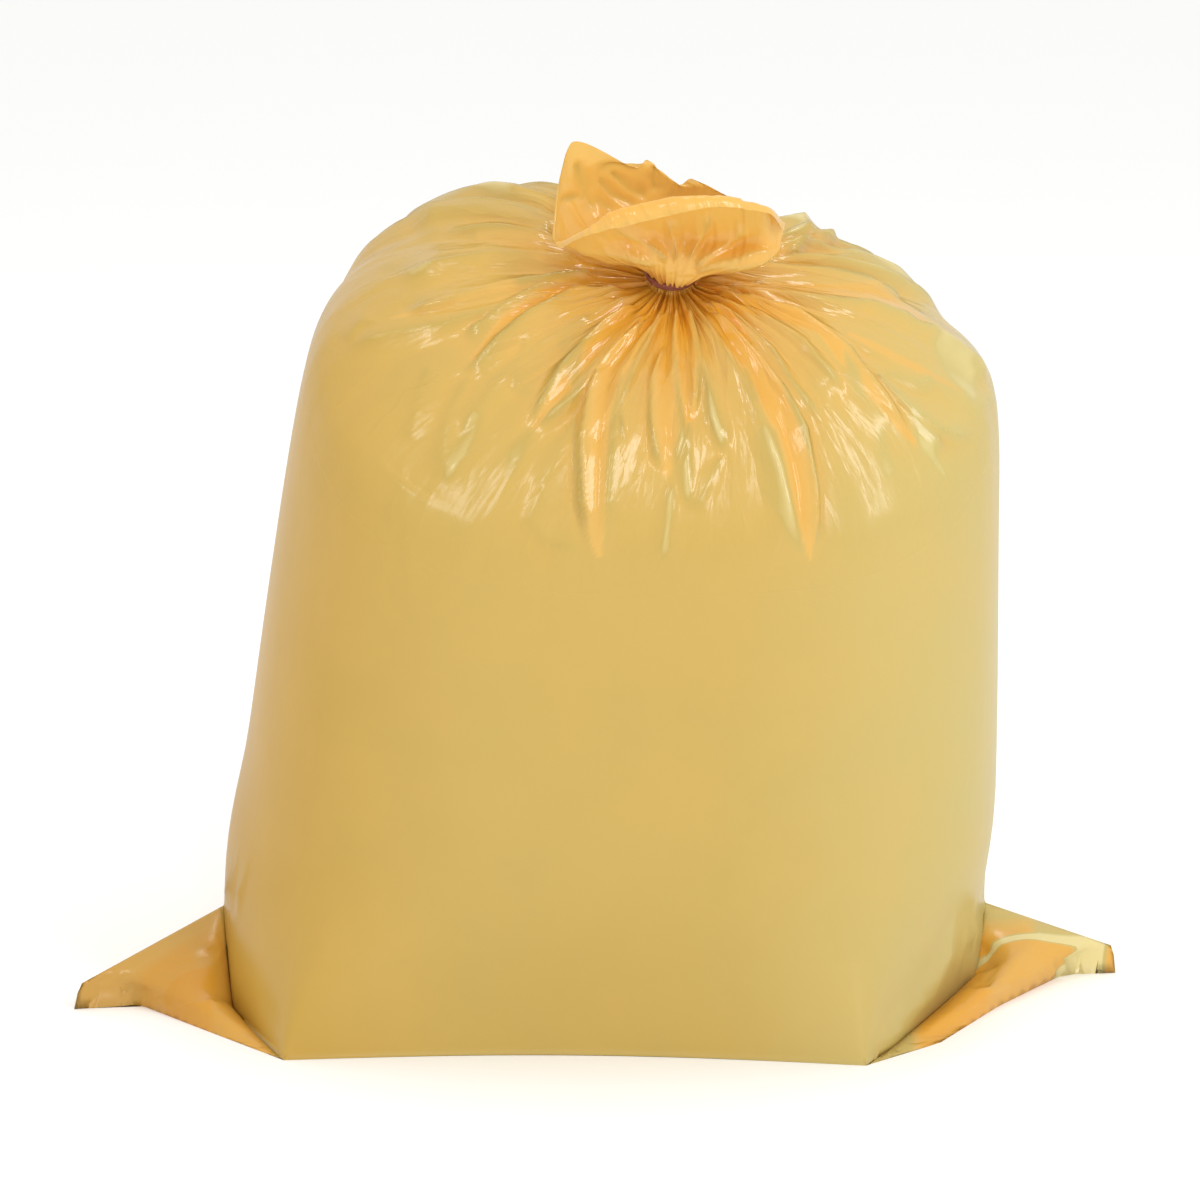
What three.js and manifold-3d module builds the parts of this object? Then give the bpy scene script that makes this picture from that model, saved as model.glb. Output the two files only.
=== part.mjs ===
// A full garbage bag of thin polyethylene film, standing on the floor, gathered at the top and
// closed by a thin elastic band. The open mouth of the film flops over the band as a crumpled
// topknot, and the two ends of the bottom seam stick out sideways as ears.
// Millimetres, +Z up, the front of the bag towards -Y. The origin is on the floor, midway
// between the tips of the ears and midway between the front and the back.
import * as THREE from "three";
import { mergeVertices } from "three/addons/utils/BufferGeometryUtils.js";
import { ConvexGeometry } from "three/addons/geometries/ConvexGeometry.js";
import Module from "manifold-3d";

// The film tube laid flat: the bottom seam, from ear tip to ear tip.
const flatWidth = 700;

// The filled body. Its sides lean: wide at the foot, narrower at the shoulder.
const bodyDepth = 374;
const footLeft = 256; // how far the left side lies from the middle, low down
const footRight = 262;
const shoulderLeft = 196;
const shoulderRight = 258;
const shoulderHeight = 412; // where the sides end and the top rounds over to the neck
const footCorner = bodyDepth / 2; // where the straight front and back edges of the foot end
const footInset = 8; // the foot is this much smaller than the belly above it
const bellyHeight = 120;
const bellySquareness = 2.9; // exponents of the rounded-box section of the body
const shoulderSquareness = 2.5;

// The neck: the place of the band, and how far its axis leans to the front.
const neckX = 46;
const neckY = -66;
const neckZ = 492;
const neckLean = 32; // degrees
const neckRadius = 15;

// The rounded top between the shoulder and the neck.
const shoulderRound = 58; // how far the sides run on upwards before they turn in
const neckRound = 88; // how far the film runs straight out from the neck before it turns down
const crownRise = 61; // how much higher the film arches behind the neck, to the left
const crownMiddle = 128; // where that arch is highest, in degrees from the right-hand side
const crownSpread = 62; // degrees
const frontSlump = 22; // how far the film sags in front

// Pleats that run from the neck down over the shoulder.
const pleatCount = 16;
const pleatDepth = 7;

// The band: turns of elastic side by side.
const bandThickness = 2.4;
const bandClearance = 0.35;
const bandTurns = 2;

// The topknot: the gathered film above the band, fanned out.
const knotLength = 55; // along the neck's axis, from the band to the rim
const knotLeft = 74; // how far the rim reaches from the neck's axis
const knotRight = 72;
const knotFront = 34;
const knotBack = 40;
const knotTilt = 22; // how far the rim rises towards its tall left end, and drops to the right
const knotRuffles = 5;
const ruffleDepth = 7;
const dishDepth = 26; // the hollow in the middle of the mouth
const dishShare = 0.8; // how wide the dish is beside the rim

// The ears: the corners of the bottom seam, pulled out flat on the floor.
const earRidge = 62; // height of the fold where an ear meets the side of the body
const earTipHeight = 15; // the hem at the very tip
const earTipThickness = 5;
const leftTipY = -58; // the tips stray a little from the middle
const rightTipY = 14;

// How finely the round shapes are divided. The foot's corners lie on the diagonals, so the
// segments are a multiple of eight.
const segments = 80;
const bodyRings = 9;
const topRings = 11;
const knotRings = 8;
const bandSegments = 48;

const radians = THREE.MathUtils.degToRad;
const mix = THREE.MathUtils.lerp;
const smooth = (t) => THREE.MathUtils.smoothstep(t, 0, 1);

const neckPlace = new THREE.Vector3(neckX, neckY, neckZ);
const neckTurn = new THREE.Quaternion().setFromAxisAngle(new THREE.Vector3(1, 0, 0), radians(neckLean));

// How far a rounded box with the given half sizes reaches in the direction of angle a.
function superRadius(a, left, right, halfDepth, squareness) {
  const halfWidth = Math.cos(a) < 0 ? left : right;
  const x = Math.abs(Math.cos(a)) / halfWidth;
  const y = Math.abs(Math.sin(a)) / halfDepth;
  return Math.pow(Math.pow(x, squareness) + Math.pow(y, squareness), -1 / squareness);
}

// One closed row of points, from a function of the angle round the bag.
function ring(pointAt) {
  return Array.from({ length: segments }, (_, i) => pointAt((i / segments) * 2 * Math.PI));
}

// How far the six-sided foot reaches in the direction of angle a: two straight edges at the
// front and back, and a slanting pair at each end, which the ears continue.
function footRadius(a) {
  const end = (Math.cos(a) < 0 ? footLeft : footRight) - footInset;
  const halfDepth = bodyDepth / 2;
  const x = Math.abs(Math.cos(a));
  const y = Math.abs(Math.sin(a));
  const slant = halfDepth / (end - footCorner);
  return Math.min(halfDepth / Math.max(y, 1e-6), (slant * end) / (slant * x + y));
}

// The side wall at height z, from the foot by way of the belly to the shoulder.
function wallRadius(a, z) {
  const up = z / shoulderHeight;
  const belly = superRadius(
    a,
    mix(footLeft, shoulderLeft, up),
    mix(footRight, shoulderRight, up),
    bodyDepth / 2,
    mix(bellySquareness, shoulderSquareness, up),
  );
  return mix(footRadius(a), belly, smooth(z / bellyHeight));
}

function bodyWall() {
  const rows = [];
  for (let i = 0; i <= bodyRings; i++) {
    const z = shoulderHeight * smooth(i / bodyRings);
    rows.push(
      ring((a) => {
        const reach = wallRadius(a, z);
        return new THREE.Vector3(Math.cos(a) * reach, Math.sin(a) * reach, z);
      }),
    );
  }
  return rows;
}

// Shortest way round between two angles, in degrees.
function degreesBetween(a, b) {
  const turn = Math.abs(THREE.MathUtils.radToDeg(a) - b) % 360;
  return Math.min(turn, 360 - turn);
}

// A point of the ring that the band holds, around the leaning axis of the neck.
function neckPoint(a, radius, along) {
  return new THREE.Vector3(Math.cos(a) * radius, Math.sin(a) * radius, along)
    .applyQuaternion(neckTurn)
    .add(neckPlace);
}

// Half the height of the wound band, and the collar of film just below it.
const bandHalf = (bandThickness * bandTurns) / 2;
const collarRadius = neckRadius + bandThickness + 2 * bandClearance;
const collarDrop = bandHalf + bandThickness;

// The rounded top, from the shoulder in to the collar: one curve for each angle round the bag.
function topCurve(a) {
  const wall = wallRadius(a, shoulderHeight);
  const low = new THREE.Vector3(Math.cos(a) * wall, Math.sin(a) * wall, shoulderHeight);
  const high = neckPoint(a, collarRadius, -collarDrop);
  const arch = Math.exp(-((degreesBetween(a, crownMiddle) / crownSpread) ** 2));
  const lift = crownRise * arch - frontSlump * Math.max(0, -Math.sin(a));
  const turn = low.clone().setZ(low.z + shoulderRound + lift);
  const out = neckPoint(a, collarRadius + neckRound, -collarDrop);
  out.z += lift;
  return new THREE.CubicBezierCurve3(low, turn, out, high);
}

function bodyTop() {
  const rows = [];
  for (let i = 1; i <= topRings; i++) {
    const t = i / topRings;
    const fade = Math.sin(Math.PI * t ** 1.5);
    rows.push(
      ring((a) => {
        const place = topCurve(a).getPoint(t);
        place.z += pleatDepth * Math.cos(pleatCount * a) * fade;
        return place;
      }),
    );
  }
  return rows;
}

// How far the rim of the topknot reaches, and how high, at angle a.
function rimRadius(a) {
  const reach = superRadius(a, knotLeft, knotRight, Math.sin(a) < 0 ? knotFront : knotBack, 2);
  return reach + ruffleDepth * Math.cos(knotRuffles * a);
}

function rimRise(a) {
  return -knotTilt * Math.cos(a) - ruffleDepth * Math.sin(knotRuffles * a);
}

// The gathered neck through the band, and the film that fans out above it.
function topknot() {
  const rows = [];
  for (const along of [-bandHalf, bandHalf]) {
    rows.push(ring((a) => neckPoint(a, neckRadius, along)));
  }
  for (let i = 1; i <= knotRings; i++) {
    const t = i / knotRings;
    const flare = Math.sin((t * Math.PI) / 2) ** 1.3;
    rows.push(
      ring((a) => {
        const along = mix(bandHalf, knotLength, t) + rimRise(a) * t * t;
        return neckPoint(a, mix(neckRadius, rimRadius(a), flare), along);
      }),
    );
  }
  for (const [share, sink] of [
    [0.5 + dishShare / 2, 0.06],
    [dishShare, 0.35],
    [dishShare / 2, 0.85],
  ]) {
    rows.push(
      ring((a) => {
        const along = knotLength + rimRise(a) * share - dishDepth * sink;
        return neckPoint(a, rimRadius(a) * share, along);
      }),
    );
  }
  return rows;
}

// A closed solid through rows of points, with a fan of triangles over its first and last row.
function loft(rows) {
  const points = rows.flat();
  const faces = [];
  for (let row = 0; row + 1 < rows.length; row++) {
    for (let i = 0; i < segments; i++) {
      const a = row * segments + i;
      const b = row * segments + ((i + 1) % segments);
      faces.push(a, b, b + segments, a, b + segments, a + segments);
    }
  }
  for (const [start, upwards] of [
    [0, false],
    [(rows.length - 1) * segments, true],
  ]) {
    const middle = new THREE.Vector3();
    for (let i = 0; i < segments; i++) middle.addScaledVector(points[start + i], 1 / segments);
    points.push(middle);
    for (let i = 0; i < segments; i++) {
      const a = start + i;
      const b = start + ((i + 1) % segments);
      faces.push(...(upwards ? [a, b, points.length - 1] : [b, a, points.length - 1]));
    }
  }
  const geometry = new THREE.BufferGeometry();
  geometry.setAttribute("position", new THREE.Float32BufferAttribute(points.flatMap((p) => p.toArray()), 3));
  geometry.setIndex(faces);
  return geometry;
}

// One ear: a flat-bottomed wedge from the slanting end of the foot out to the end of the seam.
function ear(side, tipY) {
  const tipX = side * (flatWidth / 2);
  const foot = side * (side < 0 ? footLeft : footRight);
  const halfDepth = bodyDepth / 2;
  const corner = side * footCorner;
  return new ConvexGeometry([
    new THREE.Vector3(tipX, tipY - earTipThickness / 2, 0),
    new THREE.Vector3(tipX, tipY + earTipThickness / 2, 0),
    new THREE.Vector3(tipX - side * earTipThickness, tipY, earTipHeight),
    new THREE.Vector3(foot, 0, earRidge),
    new THREE.Vector3(corner, -halfDepth, 0),
    new THREE.Vector3(corner, halfDepth, 0),
    new THREE.Vector3(corner, 0, earRidge),
  ]);
}

const wasm = await Module();
wasm.setup();

function toSolid(geometry) {
  const bare = geometry.clone();
  for (const name of ["normal", "uv"]) bare.deleteAttribute(name);
  const merged = mergeVertices(bare, 1e-3);
  return new wasm.Manifold(
    new wasm.Mesh({
      numProp: 3,
      vertProperties: new Float32Array(merged.attributes.position.array),
      triVerts: new Uint32Array(merged.index.array),
    }),
  );
}

function toGeometry(solid) {
  const mesh = solid.getMesh();
  const geometry = new THREE.BufferGeometry();
  geometry.setAttribute("position", new THREE.BufferAttribute(mesh.vertProperties, 3));
  geometry.setIndex(new THREE.BufferAttribute(mesh.triVerts, 1));
  geometry.computeVertexNormals();
  return geometry;
}

// The whole bag is one piece of film, so it is one solid: body, ears and topknot.
function bag() {
  const solid = toSolid(loft([...bodyWall(), ...bodyTop(), ...topknot()]))
    .add(toSolid(ear(-1, leftTipY)))
    .add(toSolid(ear(1, rightTipY)));
  const film = new THREE.MeshStandardMaterial({ color: "#d9b45c", roughness: 0.28, metalness: 0 });
  const mesh = new THREE.Mesh(toGeometry(solid), film);
  mesh.name = "bag";
  return mesh;
}

// The band, wound round the neck with its turns side by side.
function neckBand() {
  const radius = bandThickness / 2;
  const middle = neckRadius + bandClearance + radius;
  const arcSteps = 6;
  const profile = [];
  for (let turn = 0; turn < bandTurns; turn++) {
    const along = -bandHalf + radius * (2 * turn + 1);
    for (let i = 1; i < arcSteps; i++) {
      const a = -Math.PI / 2 + (i / arcSteps) * Math.PI;
      profile.push(new THREE.Vector2(middle + radius * Math.cos(a), along + radius * Math.sin(a)));
    }
  }
  for (let turn = bandTurns - 1; turn >= 0; turn--) {
    const along = -bandHalf + radius * (2 * turn + 1);
    for (let i = 1; i < arcSteps; i++) {
      const a = Math.PI / 2 + (i / arcSteps) * Math.PI;
      profile.push(new THREE.Vector2(middle + radius * Math.cos(a), along + radius * Math.sin(a)));
    }
  }
  profile.push(profile[0].clone());
  const geometry = new THREE.LatheGeometry(profile, bandSegments);
  geometry.rotateX(Math.PI / 2); // the lathe's axis is Y, and the neck's is Z before it leans
  const rubber = new THREE.MeshStandardMaterial({ color: "#8a3f22", roughness: 0.5, metalness: 0 });
  const mesh = new THREE.Mesh(geometry, rubber);
  mesh.name = "neck_band";
  mesh.quaternion.copy(neckTurn);
  mesh.position.copy(neckPlace);
  return mesh;
}

const group = new THREE.Group();
group.add(bag(), neckBand());
export default group;
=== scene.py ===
import math
import time
from functools import partial

import bpy
import numpy as np
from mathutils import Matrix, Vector


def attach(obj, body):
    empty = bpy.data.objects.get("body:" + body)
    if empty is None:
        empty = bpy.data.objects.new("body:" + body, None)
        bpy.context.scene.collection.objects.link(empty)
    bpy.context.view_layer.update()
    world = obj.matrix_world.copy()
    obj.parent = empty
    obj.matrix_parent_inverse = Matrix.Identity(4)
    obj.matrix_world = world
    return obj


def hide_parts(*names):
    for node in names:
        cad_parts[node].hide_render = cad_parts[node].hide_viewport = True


# A full yellow garbage bag: one tube of thin film, gathered at the neck by a wound elastic band.
# Sizes are millimetres in the frame's own axes, and become metres when a mesh is made.

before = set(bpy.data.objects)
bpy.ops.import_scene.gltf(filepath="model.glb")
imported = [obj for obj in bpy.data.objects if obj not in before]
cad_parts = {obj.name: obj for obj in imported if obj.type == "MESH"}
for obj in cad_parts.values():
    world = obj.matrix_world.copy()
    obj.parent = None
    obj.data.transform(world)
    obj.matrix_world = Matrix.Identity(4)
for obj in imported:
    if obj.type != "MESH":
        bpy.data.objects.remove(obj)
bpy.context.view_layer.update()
startTime = time.time()


def report(stage):
    print(f"{time.time() - startTime:6.1f} s  {stage}")


# The camera stands where the photograph was taken from.
viewpoint = {
    "distance": 3000.0,
    "elevation": 12.5,  # degrees above the level
    "aimHeight": 262.0,
    "mmPerPixel": 0.664,  # at the aim point
    "imageSize": 1200,
    "sensor": 36.0,
}


def makeCamera():
    tilt = math.radians(viewpoint["elevation"])
    back = Vector((0, -math.cos(tilt), math.sin(tilt)))
    data = bpy.data.cameras.new("camera")
    data.sensor_width = viewpoint["sensor"]
    seenWidth = viewpoint["mmPerPixel"] * viewpoint["imageSize"]
    data.lens = viewpoint["sensor"] * viewpoint["distance"] / seenWidth
    camera = bpy.data.objects.new("camera", data)
    bpy.context.collection.objects.link(camera)
    camera.location = (Vector((0, 0, viewpoint["aimHeight"])) + back * viewpoint["distance"]) / 1000
    camera.rotation_euler = (-back).to_track_quat("-Z", "Y").to_euler()
    bpy.context.scene.camera = camera


def fromPhoto(px, py, y):
    # the point of the object that the photograph shows at px, py, so far back
    tilt = math.radians(viewpoint["elevation"])
    focal = viewpoint["distance"] / viewpoint["mmPerPixel"]
    middle = viewpoint["imageSize"] / 2
    # depth = distance - (z - aim) sin + y cos, height = (z - aim) cos + y sin
    s, c = math.sin(tilt), math.cos(tilt)
    k = (middle - np.asarray(py, float)) / focal
    y = np.asarray(y, float)
    rise = (k * (viewpoint["distance"] + y * c) - y * s) / (c + k * s)
    depth = viewpoint["distance"] - rise * s + y * c
    x = (np.asarray(px, float) - middle) / focal * depth
    return np.stack([x, y + 0 * x, rise + viewpoint["aimHeight"]], -1)


def toPhoto(points):
    tilt = math.radians(viewpoint["elevation"])
    focal = viewpoint["distance"] / viewpoint["mmPerPixel"]
    middle = viewpoint["imageSize"] / 2
    s, c = math.sin(tilt), math.cos(tilt)
    rise = points[..., 2] - viewpoint["aimHeight"]
    depth = viewpoint["distance"] - rise * s + points[..., 1] * c
    return np.stack([
        middle + focal * points[..., 0] / depth,
        middle - focal * (rise * c + points[..., 1] * s) / depth,
    ], -1)


# The film: a tube 700 mm wide laid flat, welded across the bottom.
film = {
    "columns": 624,  # round the bag, from the left side by way of the front
    "footRows": 20,
    "wallRows": 28,
    "topRows": 98,
    "neckRows": 8,
    "knotRows": 44,
    "flatWidth": 0.7,
    "flatLength": 1.0,
}

body = {
    "halfDepth": 187.0,
    "footLeft": 256.0,
    "footRight": 266.0,
    "shoulderLeft": 198.0,
    "shoulderRight": 263.0,
    "shoulderHeight": 412.0,
    "frontDrop": 104.0,  # the front starts to lean back this much lower
    "rightDrop": 18.0,
    "bellySquareness": 2.35,
    "shoulderSquareness": 2.5,
    "rowEasing": 0.6,  # the rows of the mesh lie closer at the foot and the shoulder
    "cornerBlends": 14,
    "shoulderBlends": 120,
    "blendWeights": np.sin(np.linspace(0, math.pi, 39)[1:-1]) ** 2,
    "settle": 130.0,  # height over which the six-sided foot turns into the rounded body
}

neck = {
    "place": np.array([46.0, -66.0, 492.0]),
    "lean": 32.0,
    "radius": 14.6,
    "collarRadius": 17.5,
    "collarDrop": 6.0,
    "bandTop": 3.0,
    "shoulderRound": 54.0,
    "neckRound": 88.0,
    "crownRise": 34.0,
    "farShare": 1.9,  # how much more of that rise there is towards the shoulder
    "crownMiddle": 145.0,
    "crownSpread": 50.0,
    "flapRise": 30.0,  # the corner of film that stands up behind the neck, on the right
    "flapMiddle": 33.0,
    "flapSpread": 12.0,
    "gathers": 40,  # fine folds under the band
    "gatherHeight": 1.3,
    "bandGrip": 0.8,  # how much flatter the gathers are under the band
}

# Points of the foot: x, y, z. The tips are the ends of the bottom seam.
foot = {
    "seamTips": [(-348, -69, 0), (350, 12, 0)],
    "ridgeTips": [(-344, -69, 17), (348, 12, 19)],
    "ridgeRoots": [(-252, -20, 57), (261, 10, 50)],
    "creaseFeet": [(-242, -83, 0), (247, -30, 0)],
    "hemEnds": [(-305, -60, 0), (314, 8, 0)],  # as far as the seam shows
    "lowerEdges": [[(-254, -118, 0)], [(264, -63, 0), (220, -140, 0)]],
    "frontCorners": [(-202, -176, 0), (169, -187, 0)],
    "backCorners": [(-187, 187, 0), (187, 187, 0)],
    "frontHollow": 16.0,  # the middle of the front edge lies this much further back
    "panelColumns": 4,  # each row of the foot has this many more columns in the panels of its ears
    "panelCrease": 0.75,
    "creaseHeight": 13.0,
}


def smooth(t):
    t = np.clip(t, 0, 1)
    return t * t * (3 - 2 * t)


def mix(a, b, t):
    return a + (b - a) * t


def section(u, left, right, halfDepth, squareness):
    # x and y round a rounded box, evenly spaced along the film
    turn = np.linspace(math.pi, 3 * math.pi, 1441)
    c, s = np.cos(turn), np.sin(turn)
    half = np.where(c < 0, left, right)
    reach = (np.abs(c / half) ** squareness + np.abs(s / halfDepth) ** squareness) ** (-1 / squareness)
    x, y = reach * c, reach * s
    along = np.concatenate([[0], np.cumsum(np.hypot(np.diff(x), np.diff(y)))])
    middle = along[720]
    share = np.where(along < middle, along / middle / 2, 0.5 + (along - middle) / (along[-1] - middle) / 2)
    return np.interp(u, share, x), np.interp(u, share, y)


def polyline(points, share):
    points = np.array(points, float)
    along = np.concatenate([[0], np.cumsum(np.linalg.norm(np.diff(points, axis=0), axis=1))])
    return np.stack([np.interp(share * along[-1], along, points[:, i]) for i in range(3)], -1)


def footRing(u, w):
    # the row of the foot at share w of the way from the seam to the crease where the body begins
    out = np.zeros((len(u), 3))
    step = foot["panelColumns"] / film["columns"]
    corner = step * film["footRows"] * w
    for back in (False, True):
        v = np.where(u > 0.5, 1 - u, u)  # share from the left side to the right side
        half = (u > 0.5) if back else (u <= 0.5)
        ends = []
        for side in (0, 1):
            tip = np.array(foot["seamTips"][side], float)
            cornerPoint = np.array((foot["backCorners"] if back else foot["frontCorners"])[side], float)
            ridgeTip = np.array(foot["ridgeTips"][side], float)
            root = np.array(foot["ridgeRoots"][side], float)
            creaseFoot = np.array(foot["creaseFeet"][side], float)
            if back:
                creaseFoot = creaseFoot * [1, 0, 1] + [0, 90, 0]
            hemEnd = np.array(foot["hemEnds"][side], float)
            lowerEdge = [] if back else foot["lowerEdges"][side]
            foldLine = [tip, hemEnd, *lowerEdge, cornerPoint]
            fold = polyline(foldLine, w)
            nextFold = polyline(foldLine, min(w + 1 / film["footRows"], 1))
            ends.append(nextFold)
            if w < 1 / 12:
                start = mix(tip, ridgeTip, smooth(w * 12))
            else:
                start = mix(ridgeTip, root, (w - 1 / 12) * 12 / 11)
            p = np.clip((v if side == 0 else 0.5 - v) / max(corner, 1e-9), 0, 1)
            # the panel from the ridge down to the fold on the floor
            crease = foot["panelCrease"]
            flat = np.where(p < crease, p / crease * 0.94, 0.94 + (p - crease) / (1 - crease) * 0.06)
            ridgeZ = start[2]
            creaseZ = min(foot["creaseHeight"], ridgeZ * 0.8)
            beyond = creaseZ * (1 - (p - crease) / (1 - crease))
            z = np.where(p < crease, mix(ridgeZ, creaseZ, p / crease), beyond)
            panel = start + (fold - start) * flat[:, None]
            panel[:, 2] = z
            # where the body begins, the panel's edge follows the crease at its foot
            last = polyline([root, creaseFoot, cornerPoint], p)
            blend = smooth((w - 0.55) / 0.45)
            place = mix(panel, last, blend)
            fromEnd = v if side == 0 else 0.5 - v
            on = half & (fromEnd <= corner)
            out[on] = place[on]
            # the next columns follow the fold as far as the next row
            along = (fromEnd - corner) / step
            on = half & (along > 0) & (along < 1)
            out[on] = mix(fold, nextFold, along[:, None])[on]
        reached = corner + step
        under = half & (v >= reached) & (0.5 - v >= reached)
        q = (v - reached) / max(0.5 - 2 * reached, 1e-9)
        line = mix(ends[0], ends[1], q[:, None])
        line[:, 1] += 0 if back else foot["frontHollow"] * np.sin(math.pi * np.clip(q, 0, 1)) * w
        out[under] = line[under]
    return out


def neckPoint(a, radius, along):
    lean = math.radians(neck["lean"])
    x, y, z = np.cos(a) * radius, np.sin(a) * radius, along + 0 * a
    y, z = y * math.cos(lean) - z * math.sin(lean), y * math.sin(lean) + z * math.cos(lean)
    return np.stack([x, y, z], -1) + neck["place"]


def bezier(p0, p1, p2, p3, t):
    s = 1 - t
    return s ** 3 * p0 + 3 * s * s * t * p1 + 3 * s * t * t * p2 + t ** 3 * p3


# The topknot's rings, from the band out to the mouth, going round from the left by way of the front:
# photo x, photo y, millimetres in front of the middle.
knot = {
    "low": [
        (645, 260, 72), (647, 268, 79), (652, 274, 85), (661, 279, 91),
        (673, 286, 99), (685, 286, 99), (692, 277, 91), (696, 268, 80),
        (698, 259, 72), (695, 251, 65), (689, 245, 60), (680, 241, 56),
        (671, 240, 55), (661, 242, 57), (652, 246, 61), (647, 252, 66),
    ],
    "lip": [
        (606, 262, 82), (622, 264, 98), (640, 264, 106), (656, 262, 108),
        (676, 262, 106), (705, 266, 110), (735, 270, 114), (760, 266, 110),
        (770, 252, 94), (750, 236, 78), (722, 224, 64), (698, 218, 56),
        (676, 216, 52), (650, 218, 54), (622, 228, 60), (606, 246, 70),
    ],
    "hollow": [
        (574, 250, 88), (600, 246, 104), (628, 238, 108), (655, 232, 106),
        (684, 232, 102), (715, 236, 102), (745, 240, 104), (770, 243, 108),
        (782, 238, 98), (766, 222, 80), (735, 210, 66), (705, 200, 58),
        (680, 200, 54), (650, 196, 56), (610, 200, 62), (578, 216, 74),
    ],
    "fold": [
        (555, 240, 96), (586, 229, 118), (610, 212, 128), (640, 203, 132),
        (672, 197, 134), (708, 196, 134), (742, 201, 130), (768, 208, 122),
        (785, 224, 104), (768, 212, 84), (735, 200, 72), (706, 187, 66),
        (682, 187, 62), (655, 172, 64), (612, 165, 66), (564, 180, 76),
    ],
    "rim": [
        (555, 244, 98), (584, 236, 126), (618, 227, 138), (650, 220, 142),
        (680, 213, 144), (712, 207, 143), (745, 209, 138), (770, 214, 130),
        (783, 230, 112), (772, 212, 86), (727, 197, 70), (692, 179, 64),
        (679, 184, 60), (648, 160, 64), (634, 168, 66), (571, 143, 72),
    ],
    "ringShares": [0.0, 0.14, 0.36, 0.6, 0.86, 1.0],
    "roundness": 0.75,  # 1 is a smooth curve through the points, 0 is straight lines
}


def closedCurve(points, u):
    # through evenly spaced points
    points = np.array(points, float)
    n = len(points)
    s = (u * n) % n
    i = np.floor(s).astype(int)
    f = (s - i)[:, None]
    p0, p1, p2, p3 = (points[(i + k) % n] for k in (-1, 0, 1, 2))
    return hermite(p0, p1, p2, p3, f, knot["roundness"] / 2)


def hermite(p0, p1, p2, p3, f, ease=0.5):
    m1, m2 = (p2 - p0) * ease, (p3 - p1) * ease
    f2, f3 = f * f, f ** 3
    return (2 * f3 - 3 * f2 + 1) * p1 + (f3 - 2 * f2 + f) * m1 + (-2 * f3 + 3 * f2) * p2 + (f3 - f2) * m2


def knotRing(name, u):
    pts = closedCurve(knot[name], u)
    return fromPhoto(pts[:, 0], pts[:, 1], -pts[:, 2])


def wallRows(u, creaseRing):
    rows = []
    front = np.maximum(0, -np.sin(math.pi + 2 * math.pi * u))
    front = 0.5 - 0.5 * np.cos(math.pi * front)
    right = np.maximum(0, np.cos(math.pi + 2 * math.pi * u)) ** 2
    for i in range(1, film["wallRows"] + 1):
        up = i / film["wallRows"]
        up = mix(up, smooth(up), body["rowEasing"])
        shoulder = body["shoulderHeight"] - body["frontDrop"] * front - body["rightDrop"] * right
        z = mix(creaseRing[:, 2], shoulder, up)
        halfLeft = mix(body["footLeft"], body["shoulderLeft"], up)
        halfRight = mix(body["footRight"], body["shoulderRight"], up)
        squareness = mix(body["bellySquareness"], body["shoulderSquareness"], up)
        x, y = section(u, halfLeft, halfRight, body["halfDepth"], squareness)
        b = smooth((z - creaseRing[:, 2]) / body["settle"])
        rows.append(np.stack([mix(creaseRing[:, 0], x, b), mix(creaseRing[:, 1], y, b), z], -1))
    return rows


def bell(a, middle, spread):
    apart = np.abs((np.degrees(a) - middle + 180) % 360 - 180)
    return np.exp(-((apart / spread) ** 2))


def topRows(a, low, below):
    high = neckPoint(a, neck["collarRadius"], -neck["collarDrop"])
    lift = neck["crownRise"] * bell(a, neck["crownMiddle"], neck["crownSpread"])
    flap = neck["flapRise"] * bell(a, neck["flapMiddle"], neck["flapSpread"])
    onwards = (low - below) / np.linalg.norm(low - below, axis=-1, keepdims=True)
    turn = low + onwards * (neck["shoulderRound"] + neck["farShare"] * lift)[:, None]
    out = neckPoint(a, neck["collarRadius"] + neck["neckRound"], -neck["collarDrop"])
    out[:, 2] += lift + flap
    shares = np.arange(1, film["topRows"] + 1) / film["topRows"]
    return [bezier(low, turn, out, high, 1 - (1 - t) ** 1.15) for t in shares]


def knotRows(start, u):
    rows = []
    rings = [start] + [knotRing(name, u) for name in ("low", "lip", "hollow", "fold", "rim")]
    shares = knot["ringShares"]
    for i in range(1, film["knotRows"] + 1):
        t = i / film["knotRows"]
        k = min(max(np.searchsorted(shares, t) - 1, 0), len(rings) - 2)
        f = (t - shares[k]) / (shares[k + 1] - shares[k])
        around = [rings[min(max(k + j, 0), len(rings) - 1)] for j in (-1, 0, 1, 2)]
        rows.append(hermite(*around, f))
    return rows


def baseShape():
    # the smooth film before its pleats, as rows of points
    u = np.arange(film["columns"]) / film["columns"]
    rows = [footRing(u, i / film["footRows"]) for i in range(film["footRows"] + 1)]
    rows += wallRows(u, rows[-1])
    a = np.arctan2(rows[-1][:, 1], rows[-1][:, 0])
    rows += topRows(a, rows[-1], rows[-2])
    for i in range(1, film["neckRows"] + 1):
        t = i / film["neckRows"]
        radius = mix(neck["collarRadius"], neck["radius"], smooth(t * 1.8))
        rows.append(neckPoint(a, radius, mix(-neck["collarDrop"], neck["bandTop"], t)))
    rows += knotRows(rows[-1], u)
    rows = np.array(rows)
    # the corners of the foot soften upwards, and the shoulder is one soft bend
    for i in range(1, 13):
        row = film["footRows"] + i
        for _ in range(body["cornerBlends"] * i):
            rows[row] = (np.roll(rows[row], 1, 0) + 2 * rows[row] + np.roll(rows[row], -1, 0)) / 4
    middle = firstTopRow()
    for _ in range(body["shoulderBlends"]):
        near = slice(middle - 18, middle + 19)
        soft = (rows[middle - 19: middle + 18] + 2 * rows[near] + rows[middle - 17: middle + 20]) / 4
        rows[near] = mix(rows[near], soft, body["blendWeights"][:, None, None])
    return rows


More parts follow.
